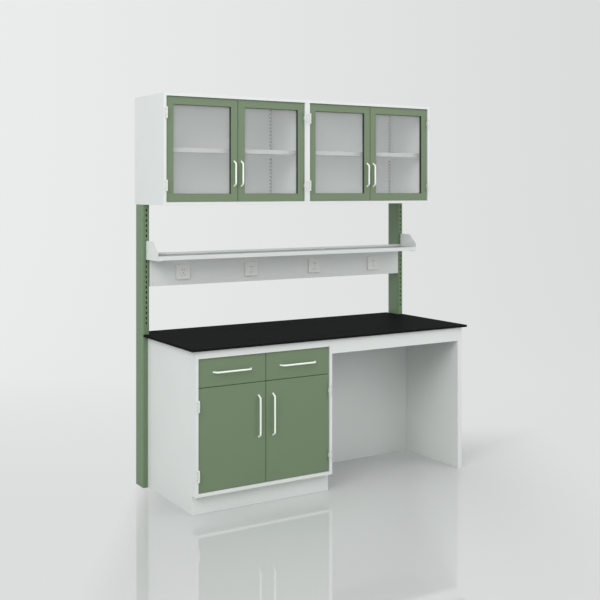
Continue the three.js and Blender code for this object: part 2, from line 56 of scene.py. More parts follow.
# %% [markdown]
# ## The camera
#
# The photograph was taken level, from the front left, with the lens shifted down so that the
# uprights stay parallel. A level camera with a vertical shift repeats that: tilting it would
# make the posts lean. The focal length and the horizon are given in pixels of the square frame.

# %% Camera
FRAME_PIXELS = 600
FOCAL_PIXELS = 1004.3
HORIZON_ROW = 190.2
SENSOR = 36.0
CAMERA_PLACE = (-3.078, -4.937, 1.650)
CAMERA_TURN = math.radians(31.64)

camera_data = bpy.data.cameras.new("camera")
camera_data.sensor_width = SENSOR
camera_data.lens = SENSOR * FOCAL_PIXELS / FRAME_PIXELS
camera_data.shift_y = (HORIZON_ROW - FRAME_PIXELS / 2) / FRAME_PIXELS
camera = bpy.data.objects.new("camera", camera_data)
camera.location = CAMERA_PLACE
camera.rotation_euler = (math.pi / 2, 0.0, -CAMERA_TURN)
bpy.context.scene.collection.objects.link(camera)
bpy.context.scene.camera = camera
bpy.context.scene.view_settings.view_transform = "Standard"
print(f"camera lens {camera_data.lens:.1f} mm, shift {camera_data.shift_y:.3f}")

# %% [markdown]
# ## Colours
#
# A shader works in linear light, while a colour is picked as a screen shows it. A small function
# turns the second into the first, so that every colour in this lesson can be written as it looks.

# %% From screen colours to shader colours


def linear(red, green, blue):
    """A colour as a screen shows it, turned into the linear values that shaders use."""
    def channel(value):
        value /= 255
        return value / 12.92 if value <= 0.04045 else ((value + 0.055) / 1.055) ** 2.4
    return (channel(red), channel(green), channel(blue), 1.0)


def shade(colour, factor):
    return (colour[0] * factor, colour[1] * factor, colour[2] * factor, 1.0)


print(f"a screen's middle grey is {linear(128, 128, 128)[0]:.3f} in linear light")

# %% [markdown]
# ## Nodes that the finishes share
#
# Every finish reads noise on Object coordinates, which stay with the piece when it moves. They are
# in metres here, so that a noise scale means the same on a handle and on a door. Noise then moves
# the colour, the gloss or the surface a little, and a large panel is never one flat colour.

# %% Shared shader nodes
# sockets of a Mix node that mixes two colours
MIX_FACTOR, MIX_FIRST, MIX_SECOND, MIX_RESULT = 0, 6, 7, 2
# nearly all of a noise lies between these values
NOISE_LOW, NOISE_HIGH = 0.3, 0.7


def start_material(name):
    material = bpy.data.materials.new(name)
    material.use_nodes = True
    tree = material.node_tree
    shader = tree.nodes["Principled BSDF"]
    place = tree.nodes.new("ShaderNodeTexCoord")
    return material, tree, shader, place


def noise(tree, place, scale, detail=2.0):
    node = tree.nodes.new("ShaderNodeTexNoise")
    node.inputs["Scale"].default_value = scale
    node.inputs["Detail"].default_value = detail
    tree.links.new(place.outputs["Object"], node.inputs["Vector"])
    return node.outputs["Fac"]


def vary_colour(tree, shader, factor, low, high):
    mix = tree.nodes.new("ShaderNodeMix")
    mix.data_type = "RGBA"
    mix.inputs[MIX_FIRST].default_value = low
    mix.inputs[MIX_SECOND].default_value = high
    tree.links.new(factor, mix.inputs[MIX_FACTOR])
    tree.links.new(mix.outputs[MIX_RESULT], shader.inputs["Base Color"])


def vary_roughness(tree, shader, factor, low, high):
    span = tree.nodes.new("ShaderNodeMapRange")
    span.inputs["From Min"].default_value = NOISE_LOW
    span.inputs["From Max"].default_value = NOISE_HIGH
    span.inputs["To Min"].default_value = low
    span.inputs["To Max"].default_value = high
    tree.links.new(factor, span.inputs["Value"])
    tree.links.new(span.outputs["Result"], shader.inputs["Roughness"])


def add_bump(tree, shader, height, strength, distance):
    bump = tree.nodes.new("ShaderNodeBump")
    bump.inputs["Strength"].default_value = strength
    bump.inputs["Distance"].default_value = distance
    tree.links.new(height, bump.inputs["Height"])
    tree.links.new(bump.outputs["Normal"], shader.inputs["Normal"])


print("shared shader nodes ready")

# %% [markdown]
# ## Powder coat, plastic and metal
#
# Powder coat is a thick paint with a faint orange-peel skin. A fine noise drives a very small
# bump, a coarser one moves the gloss and a slow one the shade. At a scale of 700 in a metre the
# peel is about a millimetre and a half across. Moulded plastic and rubber have a finer and weaker
# skin, and plated metal shows its grain in the gloss alone. The three differ only in their
# numbers, so one function makes them all.

# %% Coats, plastics and metals
# each begins with a noise scale: darkest and lightest shade, swing of the gloss, and strength and
# height in metres of the skin
POWDER_COAT = {"metallic": 0.0, "shade": (2.5, 0.955, 1.045), "gloss": (45, 0.05),
               "skin": (700, 0.12, 0.0004)}
PLASTIC = {"metallic": 0.0, "shade": (30, 0.97, 1.03), "gloss": (120, 0.04),
           "skin": (2500, 0.05, 0.0002)}
METAL = {"metallic": 1.0, "shade": (300, 0.92, 1.05), "gloss": (900, 0.06), "skin": None}


def surface(kind, name, colour, roughness):
    material, tree, shader, place = start_material(name)
    shader.inputs["Metallic"].default_value = kind["metallic"]
    shade_scale, darkest, lightest = kind["shade"]
    shades = (shade(colour, darkest), shade(colour, lightest))
    vary_colour(tree, shader, noise(tree, place, shade_scale), *shades)
    gloss_scale, swing = kind["gloss"]
    vary_roughness(tree, shader, noise(tree, place, gloss_scale), roughness - swing, roughness + swing)
    if kind["skin"]:
        skin_scale, strength, height = kind["skin"]
        add_bump(tree, shader, noise(tree, place, skin_scale), strength, height)
    return material


# painted shade: a dark grey for the insides of the socket slots and the hollows behind the strips
painted_shade_dark = surface(PLASTIC, "painted shade in slots and hollows", linear(30, 30, 30), 0.6)
# dark rubber whose colour also paints the shade on the inner face of each pane's opening
seal_rubber_and_painted_shade = surface(PLASTIC, "dark glazing seal with painted shade", linear(18, 23, 17), 0.6)
zinc = surface(METAL, "zinc plated screw", linear(196, 198, 200), 0.34)
print(f"made {len(bpy.data.materials)} materials for the small pieces")

# %% [markdown]
# ## Worktop board and glass
#
# The worktop is a matt black board with fine grey grains. A noise is cut so that only its peaks
# are left, and they take the colour of the grain. The panes and the reagent shelf are sheet
# glass. A thin sheet hardly bends light, so a low Alpha with a strong reflection does what a pane
# does, and it lets light into the cabinets without the noise that refraction would bring.

# %% Board and glass
GRAIN_SCALE, GRAIN_DETAIL = 420, 3.0
GRAIN_FROM, GRAIN_TO = 0.58, 0.70
BOARD_REFLECTION = 0.004
GLASS_IOR = 1.52
GLASS_REFLECTION = 1.0


def worktop_board(name, colour, grain):
    material, tree, shader, place = start_material(name)
    peaks = tree.nodes.new("ShaderNodeMapRange")
    peaks.inputs["From Min"].default_value = GRAIN_FROM
    peaks.inputs["From Max"].default_value = GRAIN_TO
    tree.links.new(noise(tree, place, GRAIN_SCALE, GRAIN_DETAIL), peaks.inputs["Value"])
    vary_colour(tree, shader, peaks.outputs["Result"], colour, grain)
    vary_roughness(tree, shader, noise(tree, place, scale=60), low=0.55, high=0.65)
    add_bump(tree, shader, noise(tree, place, scale=1400), strength=0.15, distance=0.0003)
    shader.inputs["Specular IOR Level"].default_value = BOARD_REFLECTION
    return material


def sheet_glass(name, colour, body):
    material, tree, shader, place = start_material(name)
    shader.inputs["Base Color"].default_value = colour
    shader.inputs["Alpha"].default_value = body
    shader.inputs["IOR"].default_value = GLASS_IOR
    shader.inputs["Specular IOR Level"].default_value = GLASS_REFLECTION
    vary_roughness(tree, shader, noise(tree, place, scale=8), low=0.015, high=0.035)
    return material


WHITE_PAINT = linear(226, 229, 227)
WALL_GREEN = linear(114, 132, 103)
FRONT_GREEN = linear(112, 132, 102)
COAT_ROUGHNESS = 0.42
FRONT_ROUGHNESS = 0.40

finishes = {
    "white_steel": surface(POWDER_COAT, "white powder coat", WHITE_PAINT, COAT_ROUGHNESS),
    "green_steel": surface(POWDER_COAT, "sage powder coat", WALL_GREEN, COAT_ROUGHNESS),
    "green_front": surface(POWDER_COAT, "deep sage powder coat", FRONT_GREEN, FRONT_ROUGHNESS),
    "black_worktop": worktop_board("black worktop board", linear(24, 25, 25), linear(58, 59, 58)),
    "white_nylon": surface(PLASTIC, "white handle coating", linear(250, 254, 247), 0.28),
    "white_plastic": surface(PLASTIC, "white socket plastic", linear(232, 233, 229), 0.30),
    "clear_glass": sheet_glass("clear glass", linear(252, 255, 254), body=0.15),
    "tinted_glass": sheet_glass("grey glass", linear(178, 187, 183), body=0.45),
}
print(f"made {len(finishes)} finishes, one for each material slot")

# %% [markdown]
# ## Dressing the solids
#
# Every solid takes the finish of its material slot in the record. The inner shelves and the posts
# get a coat of their own. The shelves get a greyer copy of the white coat, which paints shade on
# them where they catch more light near the glass, and the posts get a purer green than the doors.
# Folded sheet and moulded pieces never have knife edges, so a Weld modifier joins the loose
# triangles, a planar Decimate takes the diagonals out of the flat faces, and a small Bevel rounds
# what is left. They are modifiers, so the solid underneath stays as it was packed.

# %% Finish and ease each solid
EDGE_RADIUS = 0.8 * MM
EDGE_STEPS = 2
EASED_ANGLE = math.radians(40)
FLAT_ANGLE = math.radians(0.5)
SAME_PLACE = 0.00001


def ease_edges(solid):
    weld = solid.modifiers.new("weld", "WELD")
    weld.merge_threshold = SAME_PLACE
    flat = solid.modifiers.new("flat faces", "DECIMATE")
    flat.decimate_type = "DISSOLVE"
    flat.angle_limit = FLAT_ANGLE
    bevel = solid.modifiers.new("eased edges", "BEVEL")
    bevel.width = EDGE_RADIUS
    bevel.segments = EDGE_STEPS
    bevel.limit_method = "ANGLE"
    bevel.angle_limit = EASED_ANGLE


# painted shade: a greyer copy of the white coat for the inner shelves
SHELF_PAINTED_SHADE = linear(190, 193, 191)
POST_GREEN = linear(107, 131, 98)
shelf_painted_shade = surface(POWDER_COAT, "white powder coat with painted shade, shelves", SHELF_PAINTED_SHADE, COAT_ROUGHNESS)
post_paint = surface(POWDER_COAT, "purer sage powder coat of the posts", POST_GREEN, COAT_ROUGHNESS)
own_paint = {
    "wall_cabinet_left_shelf": shelf_painted_shade, "wall_cabinet_right_shelf": shelf_painted_shade,
    "left_post": post_paint, "right_post": post_paint,
}
slot_of = {part["node"]: part["material_slot"] for part in frame["record"]["subparts"]}
for name, solid in nodes.items():
    solid.data.materials.clear()
    solid.data.materials.append(own_paint.get(name, finishes[slot_of[name]]))
    ease_edges(solid)
print(f"finished {len(nodes)} solids, {len(own_paint)} of them in a coat of their own")

# %% [markdown]
# ## Building a tree of nodes
#
# Whatever repeats or follows a line is made by Geometry Nodes: a small mesh says where, and a tree
# says what stands there. These helpers make a tree with named inputs, add one node with its
# settings and links, and close the tree by turning its instances into real geometry with a
# material. A point can carry a direction, so that a screw or a strip faces out of its seat.

# %% Helpers for trees


def new_tree(name, inputs):
    tree = bpy.data.node_groups.new(name, "GeometryNodeTree")
    tree.interface.new_socket("Geometry", in_out="INPUT", socket_type="NodeSocketGeometry")
    for label, kind in inputs.items():
        tree.interface.new_socket(label, in_out="INPUT", socket_type=f"NodeSocket{kind}")
    tree.interface.new_socket("Geometry", in_out="OUTPUT", socket_type="NodeSocketGeometry")
    return tree, tree.nodes.new("NodeGroupInput").outputs, tree.nodes.new("NodeGroupOutput").inputs


def add(tree, kind, inputs=None, **settings):
    """A new node, with its settings, and with each input linked to a socket or given a value."""
    node = tree.nodes.new(kind)
    for label, value in settings.items():
        setattr(node, label, value)
    for label, value in (inputs or {}).items():
        if isinstance(value, bpy.types.NodeSocket):
            tree.links.new(value, node.inputs[label])
        else:
            node.inputs[label].default_value = value
    return node


def calculate(tree, operation, *values):
    return add(tree, "ShaderNodeMath", dict(enumerate(values)), operation=operation).outputs[0]


def times(tree, value, factor):
    return calculate(tree, "MULTIPLY", value, factor)


def join(tree, *geometries):
    both = add(tree, "GeometryNodeJoinGeometry")
    for geometry in geometries:
        tree.links.new(geometry, both.inputs["Geometry"])
    return both.outputs["Geometry"]


def facing(tree):
    """The stored direction of each point, as a rotation that turns Z that way and keeps Y up."""
    stored = add(tree, "GeometryNodeInputNamedAttribute", {"Name": "facing"}, data_type="FLOAT_VECTOR")
    out = add(tree, "FunctionNodeAlignRotationToVector", {"Vector": stored.outputs["Attribute"]}, axis="Z")
    up = add(tree, "FunctionNodeAlignRotationToVector",
             {"Rotation": out.outputs["Rotation"], "Vector": (0.0, 0.0, 1.0)}, axis="Y", pivot_axis="Z")
    return up.outputs["Rotation"]


def finish_tree(tree, end, geometry, material):
    real = add(tree, "GeometryNodeRealizeInstances", {"Geometry": geometry})
    painted = add(tree, "GeometryNodeSetMaterial",
                  {"Geometry": real.outputs["Geometry"], "Material": material})
    tree.links.new(painted.outputs["Geometry"], end["Geometry"])


print("helpers for trees ready")

# %% [markdown]
# ## From a tree to a plain piece
#
# A tree runs as a modifier on a mesh of points. Its result is turned into a plain mesh straight
# away, because an exported model keeps meshes and loses instances. Inputs are set by identifier,
# since two sockets of one tree may share a name. Each finished piece then rides on its body, and
# the solids that it stands for are hidden.

# %% Helpers for pieces


def points_mesh(name, places, edges=()):
    """A mesh of places in millimetres, each with the direction that faces away from its seat."""
    mesh = bpy.data.meshes.new(name)
    mesh.from_pydata([Vector(place) * MM for place, _ in places], edges, [])
    stored = mesh.attributes.new("facing", "FLOAT_VECTOR", "POINT")
    stored.data.foreach_set("vector", [value for _, outward in places for value in outward])
    return mesh


def plain_mesh(holder):
    """What an object looks like with its modifiers, as a mesh of its own."""
    bpy.context.view_layer.update()
    graph = bpy.context.evaluated_depsgraph_get()
    return bpy.data.meshes.new_from_object(holder.evaluated_get(graph), depsgraph=graph)


def show(name, mesh):
    holder = bpy.data.objects.new(name, mesh)
    bpy.context.scene.collection.objects.link(holder)
    return holder


def grow(tree, name, mesh, values):
    """An object made by a tree on a mesh, with the tree's inputs set, then turned plain."""
    holder = show(name, mesh)
    modifier = holder.modifiers.new("grow", "NODES")
    modifier.node_group = tree
    for item in tree.interface.items_tree:
        if item.in_out == "INPUT" and item.name in values:
            modifier[item.identifier] = values[item.name]
    grown = plain_mesh(holder)
    holder.modifiers.clear()
    holder.data = grown
    grown.name = name
    return holder


def belongs(piece, body, slot, *replaced):
    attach(piece, body)
    if replaced:
        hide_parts(*replaced)
    return piece


print("helpers for pieces ready")

# %% [markdown]
# ## Inside of the wall cabinets
#
# Behind their glass the wall cabinets are almost as light as outside. Their inner faces get a
# whiter copy of the white coat. This is painted light, which brightens them where the glass leaves
# them in shade. The carcass is one solid with one material, so a box in Object coordinates picks
# out what lies inside.

# %% Painted light inside the wall cabinets
# painted light: a whiter copy of the white coat for the cabinets' inner faces
INSIDE_PAINTED_LIGHT = linear(247, 249, 248)
# middle and half size of the inside, in metres: distance from the bench's middle, and level
INSIDE_ACROSS = (0.4501, 0.4345)
INSIDE_LEVEL = (1.8700, 0.2825)
INSIDE_FROM = 0.005


def inside_box(tree, place):
    axis = add(tree, "ShaderNodeSeparateXYZ", {0: place.outputs["Object"]}).outputs
    distance = calculate(tree, "ABSOLUTE", axis["X"])
    between_sides = calculate(tree, "COMPARE", distance, *INSIDE_ACROSS)
    between_ends = calculate(tree, "COMPARE", axis["Z"], *INSIDE_LEVEL)
    behind_front = calculate(tree, "GREATER_THAN", axis["Y"], INSIDE_FROM)
    return times(tree, times(tree, between_sides, between_ends), behind_front)


coat_with_painted_light = surface(POWDER_COAT, "white powder coat, painted light inside", WHITE_PAINT, COAT_ROUGHNESS)
painted_light_tree = coat_with_painted_light.node_tree
painted_light_base_colour = painted_light_tree.nodes["Principled BSDF"].inputs["Base Color"]
outer_colour = painted_light_base_colour.links[0].from_socket
inside = inside_box(painted_light_tree, painted_light_tree.nodes["Texture Coordinate"])
# mixes the painted light into the inner faces
painted_light_mix = add(painted_light_tree, "ShaderNodeMix",
             {MIX_FACTOR: inside, MIX_FIRST: outer_colour, MIX_SECOND: INSIDE_PAINTED_LIGHT}, data_type="RGBA")
painted_light_tree.links.new(painted_light_mix.outputs[MIX_RESULT], painted_light_base_colour)
cabinets_with_painted_light = ("wall_cabinet_left", "wall_cabinet_right")
for name in cabinets_with_painted_light:
    nodes[name].data.materials[0] = coat_with_painted_light
print(f"lined {len(cabinets_with_painted_light)} wall cabinets")

# %% [markdown]
# ## Bow handles
#
# A handle is one rod bent twice, with both feet screwed to the front from behind. The bend is a
# real radius, so a line of four points is rounded by Fillet Curve and a circle is swept along
# it. Sweeping keeps the rod equally thick round the bends, which a scaled profile would not.

# %% A tree for a bent rod
BEND_STEPS = 9
ROD_SIDES = 24

handle_tree, handle_in, handle_out = new_tree(
    "bow handle", {"Rod": "Float", "Bend radius": "Float", "Material": "Material"})
line = add(handle_tree, "GeometryNodeMeshToCurve", {"Mesh": handle_in["Geometry"]})
bent = add(handle_tree, "GeometryNodeFilletCurve",
           {"Curve": line.outputs["Curve"], "Radius": handle_in["Bend radius"]})
bent.mode = "POLY"
bent.inputs["Count"].default_value = BEND_STEPS
section = add(handle_tree, "GeometryNodeCurvePrimitiveCircle",
              {"Resolution": ROD_SIDES, "Radius": times(handle_tree, handle_in["Rod"], 0.5)})
rod = add(handle_tree, "GeometryNodeCurveToMesh",
          {"Curve": bent.outputs["Curve"], "Profile Curve": section.outputs["Curve"], "Fill Caps": True})
smooth_rod = add(handle_tree, "GeometryNodeSetShadeSmooth", {"Geometry": rod.outputs["Mesh"]})
finish_tree(handle_tree, handle_out, smooth_rod.outputs["Geometry"], handle_in["Material"])
print(f"handle tree with {len(handle_tree.nodes)} nodes")

# %% [markdown]
# ## Where the handles are
#
# The doors have upright handles beside the gap between each pair, and the drawers have level ones
# in the middle of their fronts. All eight have the same rod and stand equally far from their
# front, and only the grip is shorter on the wall doors. So each front needs just a grip length, a
# middle and a direction. The feet are sunk a little into the front, so that no gap shows.

# %% Sweep the eight handles
HANDLE_ROD = 9.5
HANDLE_REACH = 26.0 - HANDLE_ROD / 2
HANDLE_SPLAY = 11.0
HANDLE_RADIUS = 12.0
HANDLE_SINK = 2.0
BASE_FACE = -348.0
BASE_MIDDLE = -461.0
BASE_GRIP = 195
WALL_FACE = -16.0
WALL_MIDDLE = 450.075
WALL_GRIP = 114
# how far a grip is from the middle of its cupboard, and its height above the floor
BASE_DOOR_GRIP = (43.5, 467.7)
DRAWER_GRIP = (197.75, 721.7)
WALL_DOOR_GRIP = (22.5, 1741)
UPRIGHT = (0, 0, 1)
LEVEL = (1, 0, 0)
TO_FRONT = (0, -1, 0)
TO_REAR = (0, 1, 0)
HANDS = ((-1, "left"), (1, "right"))

# front: grip length, middle of the grip, direction of the grip
handles = {}
base_grips = (("base_door", BASE_DOOR_GRIP, UPRIGHT), ("drawer", DRAWER_GRIP, LEVEL))
for kind, (step, height), direction in base_grips:
    for hand, side_name in HANDS:
        middle = (BASE_MIDDLE + hand * step, BASE_FACE, height)
        handles[f"{kind}_{side_name}"] = (BASE_GRIP, middle, direction)
step, height = WALL_DOOR_GRIP
wall_places = [cabinet * WALL_MIDDLE + hand * step for cabinet in (-1, 1) for hand in (-1, 1)]
for number, x in enumerate(wall_places, 1):
    handles[f"wall_door_{number}"] = (WALL_GRIP, (x, WALL_FACE, height), UPRIGHT)


def handle_line(grip, middle, direction):
    grip_way = Vector(direction)
    elbow = grip_way * grip / 2 + Vector(TO_FRONT) * HANDLE_REACH
    leg = grip_way * HANDLE_SPLAY + Vector(TO_REAR) * HANDLE_REACH
    foot = elbow + leg * (1 + HANDLE_SINK / HANDLE_REACH)
    other_elbow = elbow - grip_way * 2 * elbow.dot(grip_way)
    other_foot = foot - grip_way * 2 * foot.dot(grip_way)
    return [(Vector(middle) + end, TO_FRONT) for end in (foot, elbow, other_elbow, other_foot)]


handle_sizes = {"Rod": HANDLE_ROD * MM, "Bend radius": HANDLE_RADIUS * MM,
                "Material": finishes["white_nylon"]}
for front, place in handles.items():
    rod_line = points_mesh("handle line", handle_line(*place), [(0, 1), (1, 2), (2, 3)])
    handle = grow(handle_tree, f"{front}_rod", rod_line, handle_sizes)
    belongs(handle, front, "white_nylon", f"{front}_handle")
print(f"swept {len(handles)} handles, {len(handle.data.polygons)} faces each")

# %% [markdown]
# ## A screw with a cross
#
# Small pan-head screws hold the hinges, the trunking and the handles. One tree makes the head: a
# low cone, with two crossed blades cut out of its top by an exact Boolean. It is set on each point
# and turned to face outwards. The blades are given as shares of the head, so that a larger screw
# has a larger cross.

# %% A tree for a screw
HEAD_SIDES = 20
TOP_SHARE = 0.72
BLADE_LENGTH, BLADE_WIDTH = 1.1, 0.26

screw_tree, screw_in, screw_out = new_tree(
    "cross head screw", {"Head radius": "Float", "Head height": "Float", "Material": "Material"})
head_radius = screw_in["Head radius"]
head_height = screw_in["Head height"]
head = add(screw_tree, "GeometryNodeMeshCone",
           {"Vertices": HEAD_SIDES, "Radius Top": times(screw_tree, head_radius, TOP_SHARE),
            "Radius Bottom": head_radius, "Depth": head_height})
crossed = add(screw_tree, "GeometryNodeMeshBoolean", {"Mesh 1": head.outputs["Mesh"]},
              operation="DIFFERENCE", solver="EXACT")
for share_x, share_y in ((BLADE_LENGTH, BLADE_WIDTH), (BLADE_WIDTH, BLADE_LENGTH)):
    blade_size = add(screw_tree, "ShaderNodeCombineXYZ",
                     {"X": times(screw_tree, head_radius, share_x),
                      "Y": times(screw_tree, head_radius, share_y), "Z": head_height})
    blade = add(screw_tree, "GeometryNodeMeshCube", {"Size": blade_size.outputs["Vector"]})
    rise = add(screw_tree, "ShaderNodeCombineXYZ", {"Z": head_height})
    raised_blade = add(screw_tree, "GeometryNodeTransform",
                       {"Geometry": blade.outputs["Mesh"], "Translation": rise.outputs["Vector"]})
    screw_tree.links.new(raised_blade.outputs["Geometry"], crossed.inputs["Mesh 2"])
set_screws = add(screw_tree, "GeometryNodeInstanceOnPoints",
                 {"Points": screw_in["Geometry"], "Instance": crossed.outputs["Mesh"],
                  "Rotation": facing(screw_tree)})
finish_tree(screw_tree, screw_out, set_screws.outputs["Instances"], screw_in["Material"])
print(f"screw tree with {len(screw_tree.nodes)} nodes")

# %% [markdown]
# ## Screws of the hinges and the trunking
#
# A hinge has its fixed leaf on the front edge of the carcass, with one screw above the knuckles
# and one below. The trunking is screwed at its four corners. All of them stay with the bench, so
# they are one piece on the bench's body.

# %% Screws on the bench
BASE_AXIS = -361.8
WALL_AXIS = -29.8
BASE_DOOR_ENDS = (117.0, 645.7)
WALL_DOOR_ENDS = (1588.0, 2152.0)
HINGE_FROM_END = 88.0
LEAF_MIDDLE = 9.6
LEAF_FACE = 3.0
LEAF_SCREW_STEP = 19
TRUNKING_FACE = 252.0
TRUNKING_SCREWS_ACROSS = (-845, 845)
TRUNKING_SCREW_LEVELS = (1130, 1245)
SMALL_SCREW = {"Head radius": 2.6 * MM, "Head height": 0.9 * MM, "Material": zinc}

# door: x and y of the hinge axis, lower and upper end of the door, side on which the leaf lies
hinges = {
    "base_door_left": (-856.0, BASE_AXIS, *BASE_DOOR_ENDS, -1),
    "base_door_right": (-66.0, BASE_AXIS, *BASE_DOOR_ENDS, 1),
    "wall_door_1": (-883.0, WALL_AXIS, *WALL_DOOR_ENDS, -1),
    "wall_door_2": (-17.15, WALL_AXIS, *WALL_DOOR_ENDS, 1),
    "wall_door_3": (17.15, WALL_AXIS, *WALL_DOOR_ENDS, -1),
    "wall_door_4": (883.0, WALL_AXIS, *WALL_DOOR_ENDS, 1),
}


def hinge_levels(low, high):
    return (low + HINGE_FROM_END, high - HINGE_FROM_END)


bench_screws = []
for axis_x, axis_y, low, high, leaf_side in hinges.values():
    leaf_x = axis_x + leaf_side * LEAF_MIDDLE
    for level in hinge_levels(low, high):
        for step in (-LEAF_SCREW_STEP, LEAF_SCREW_STEP):
            bench_screws.append(((leaf_x, axis_y + LEAF_FACE, level + step), TO_FRONT))
for x in TRUNKING_SCREWS_ACROSS:
    for z in TRUNKING_SCREW_LEVELS:
        bench_screws.append(((x, TRUNKING_FACE, z), TO_FRONT))
screws = grow(screw_tree, "hinge_and_trunking_screws", points_mesh("screw places", bench_screws), SMALL_SCREW)
belongs(screws, "bench", "white_steel")
print(f"set {len(bench_screws)} screws on the bench")

# %% [markdown]
# ## Screws of the handles
#
# Every handle shows its two screw heads on the back of its front, in line with its feet. They move
# with the door or the drawer, so each pair is a piece of its own on that body. They come into view
# when a door is open.

# %% Screws behind the handles
# y of the back of a front, for each kind of front
FRONT_BACK = {"base": BASE_FACE + 18.0, "wall": WALL_FACE + 20.0, "drawer": BASE_FACE + 20.3}
LARGE_SCREW = {"Head radius": 4.0 * MM, "Head height": 2.0 * MM, "Material": zinc}

for front, (grip, middle, direction) in handles.items():
    rear = FRONT_BACK[front.split("_")[0]]
    to_foot = Vector(direction) * (grip / 2 + HANDLE_SPLAY)
    seats = [(Vector((middle[0], rear, middle[2])) + to_foot * hand, TO_REAR) for hand in (-1, 1)]
    pair = grow(screw_tree, f"{front}_handle_screws", points_mesh("screw places", seats), LARGE_SCREW)
    belongs(pair, front, "white_nylon")
print(f"set {len(seats)} screws behind each of {len(handles)} handles")

# %% [markdown]
# ## Bars and rings as meshes
#
# The next pieces are straight bars with an outline: knuckles, seals and socket plates. Rather than
# adding boxes and cylinders, one function draws any outline at two ends and joins them. With a
# second outline it makes a ring, either a bored one or a frame. The axes say which way the bar
# lies, so the same function serves an upright knuckle and a flat seal.

# %% Helpers for bars and rings
SAME_CORNER = 0.000001
# which axis takes each number of an outline, and which the length
ALONG_Z = (0, 1, 2)
ALONG_Y = (0, 2, 1)


def closed_mesh(name, shape):
    bmesh.ops.remove_doubles(shape, verts=shape.verts, dist=SAME_CORNER)
    bmesh.ops.recalc_face_normals(shape, faces=shape.faces)
    mesh = bpy.data.meshes.new(name)
    shape.to_mesh(mesh)
    shape.free()
    return mesh


def add_ring(shape, outline, axes, along):
    """New corners round an outline, in millimetres, at one place along the bar."""
    ring = []
    for point in outline:
        place = [0.0, 0.0, 0.0]
        for axis, value in zip(axes, (*point, along)):
            place[axis] = value * MM
        ring.append(shape.verts.new(place))
    return ring


def join_rings(shape, first, second):
    count = len(first)
    for index in range(count):
        following = (index + 1) % count
        shape.faces.new((first[index], first[following], second[following], second[index]))


def add_prism(shape, outline, hole, axes, low, high):
    """A bar with an outline, bored along its length when a hole of as many points is given."""
    start = add_ring(shape, outline, axes, low)
    end = add_ring(shape, outline, axes, high)
    join_rings(shape, start, end)
    if hole:
        hole_start = add_ring(shape, hole, axes, low)
        hole_end = add_ring(shape, hole, axes, high)
        join_rings(shape, hole_start, hole_end)
        join_rings(shape, start, hole_start)
        join_rings(shape, end, hole_end)
    else:
        shape.faces.new(start)
        shape.faces.new(end)


def circle(x, y, radius, sides=28):
    turns = [2 * math.pi * side / sides for side in range(sides)]
    return [(x + radius * math.cos(turn), y + radius * math.sin(turn)) for turn in turns]


def rectangle(left, right, low, high):
    return [(left, low), (right, low), (right, high), (left, high)]


print("helpers for bars and rings ready")

# %% [markdown]
# ## Hinge knuckles
#
# A butt hinge is one part on the real bench, painted white all over. The middle knuckle moves
# with the door, so it is a sleeve of its own, bored for the pin, over the knuckle of the door. A
# short lug reaches back from it, where the leaf goes in beside the door.

# %% White knuckles on the doors
KNUCKLE_RADIUS = 4.75
KNUCKLE_BORE = 2.5
KNUCKLE_HALF = 11.0
KNUCKLE_EASE = 0.4 * MM
KNUCKLE_CREASE = math.radians(35)
LUG_WIDTH = 4.45
LUG_FROM = 1.0
LUG_DEPTH = 13.6

for door, (x, y, low, high, leaf_side) in hinges.items():
    shape = bmesh.new()
    lug_start, lug_end = sorted((x - leaf_side * KNUCKLE_BORE, x - leaf_side * LUG_WIDTH))
    lug = rectangle(lug_start, lug_end, y + LUG_FROM, y + LUG_DEPTH)
    for level in hinge_levels(low, high):
        ends = (level - KNUCKLE_HALF, level + KNUCKLE_HALF)
        add_prism(shape, circle(x, y, KNUCKLE_RADIUS), circle(x, y, KNUCKLE_BORE), ALONG_Z, *ends)
        add_prism(shape, lug, None, ALONG_Z, *ends)
    knuckles = show(f"{door}_knuckles", closed_mesh(f"{door}_knuckles", shape))
    knuckles.data.materials.append(finishes["white_steel"])
    knuckles.data.shade_smooth()
    ease = knuckles.modifiers.new("eased ends", "BEVEL")
    ease.width = KNUCKLE_EASE
    ease.segments = EDGE_STEPS
    knuckles.data = plain_mesh(knuckles)
    knuckles.modifiers.clear()
    knuckles.data.set_sharp_from_angle(angle=KNUCKLE_CREASE)
    belongs(knuckles, door, "white_steel")
print(f"sleeved two knuckles on each of {len(hinges)} doors")

# %% [markdown]
# ## Glazing seals
#
# Each pane is held in its frame by a rubber seal that lines the opening in front of the glass,
# with a short bead behind it. Its dark colour is partly the rubber's own and partly painted shade of
# the opening's inner face, which shows at the right of each opening from the front left. It is a
# ring with a small section, so it is drawn from two rectangles.

# %% Seals round the four panes
FRAME_WIDTH = 42.0
SEAL_WIDTH = 1.0
SEAL_SETBACK = 2.5
SEAL_PLAY = 0.1
BEAD_REACH = 2.4
PANE_FRONT = WALL_FACE + 13.0
PANE_REAR = PANE_FRONT + 4.0
# left and right edge of each wall door
door_edges = {
    "wall_door_1": (-882.0, -451.575), "wall_door_2": (-448.575, -18.15),
    "wall_door_3": (18.15, 448.575), "wall_door_4": (451.575, 882.0),
}


def inside_door(left, right, inset):
    low, high = WALL_DOOR_ENDS
    return rectangle(left + inset, right - inset, low + inset, high - inset)


for door, sides in door_edges.items():
    opening = inside_door(*sides, FRAME_WIDTH)
    lining_edge = inside_door(*sides, FRAME_WIDTH + SEAL_WIDTH)
    shape = bmesh.new()
    add_prism(shape, opening, lining_edge, ALONG_Y, WALL_FACE + SEAL_SETBACK, PANE_FRONT - SEAL_PLAY)
    add_prism(shape, opening, lining_edge, ALONG_Y, PANE_REAR + SEAL_PLAY, PANE_REAR + BEAD_REACH)
    seal = show(f"{door}_seal", closed_mesh(f"{door}_seal", shape))
    seal.data.materials.append(seal_rubber_and_painted_shade)
    belongs(seal, door, "green_steel")
print(f"sealed {len(door_edges)} panes")
